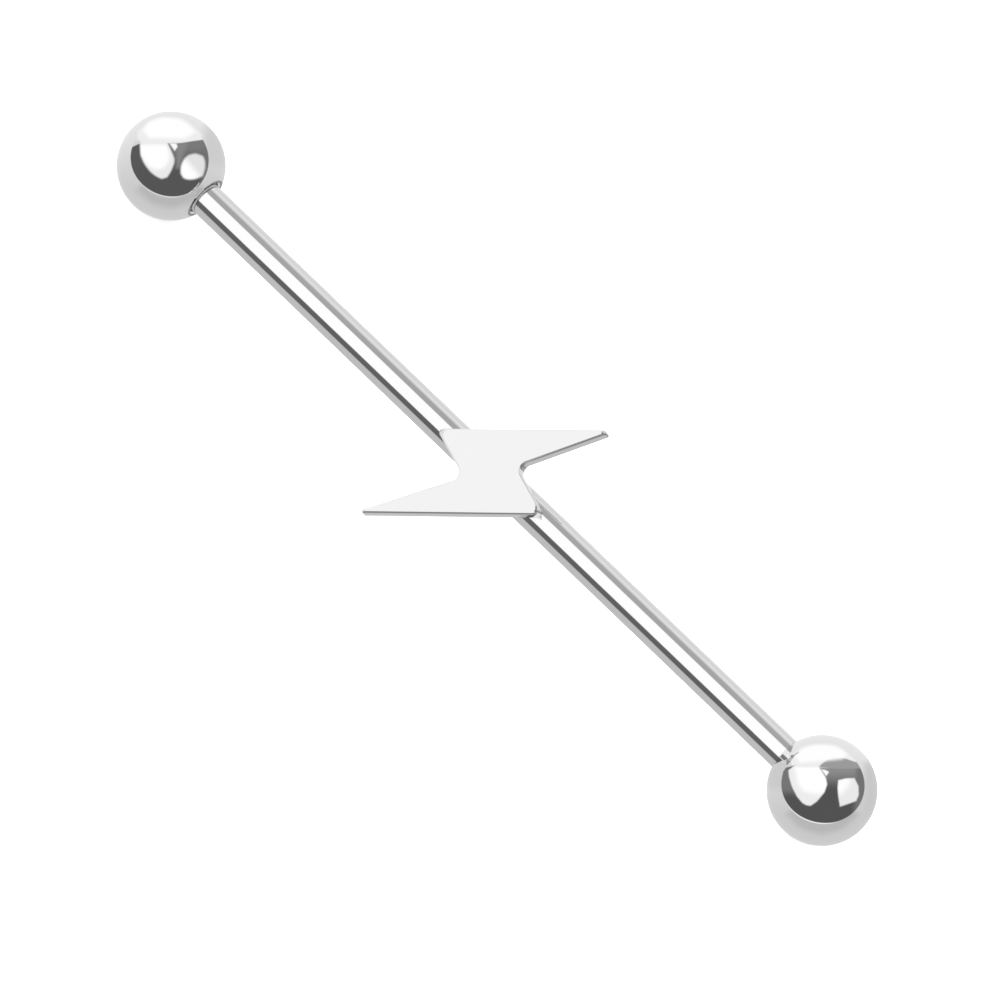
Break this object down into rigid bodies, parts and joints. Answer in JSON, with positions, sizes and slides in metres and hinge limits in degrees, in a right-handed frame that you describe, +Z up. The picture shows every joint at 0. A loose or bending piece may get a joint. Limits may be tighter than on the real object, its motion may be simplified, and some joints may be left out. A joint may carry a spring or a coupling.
{
  "type": "industrial barbell",
  "caption": "Long straight piercing barbell of polished steel, with a screw-on ball at each end and a flat lightning bolt soldered across its middle.",
  "frame": {"origin": "middle of the bar, on its axis, which is within 0.1 mm of the whole part's centroid; the floor that it rests on is 2.5 mm below", "axes": "+X along the bar towards the right ball, +Z up, as the barbell lies by itself on both balls and on the bolt's long tip, which points down and towards -Y"},
  "size_m": [0.0474, 0.0089, 0.0066],
  "materials": {
    "shaft_steel": "mirror-polished surgical stainless steel",
    "ball_steel": "mirror-polished surgical stainless steel"
  },
  "bodies": {
    "shaft": {"shaft_with_bolt": "shaft_steel"},
    "left_ball": {"ball_left": "ball_steel"},
    "right_ball": {"ball_right": "ball_steel"}
  },
  "joints": [
    {"name": "left_ball_off", "type": "slide", "parent": "shaft", "child": "left_ball", "axis": [-1, 0, 0], "range_m": [0, 0.008]},
    {"name": "right_ball_off", "type": "slide", "parent": "shaft", "child": "right_ball", "axis": [1, 0, 0], "range_m": [0, 0.008]}
  ]
}
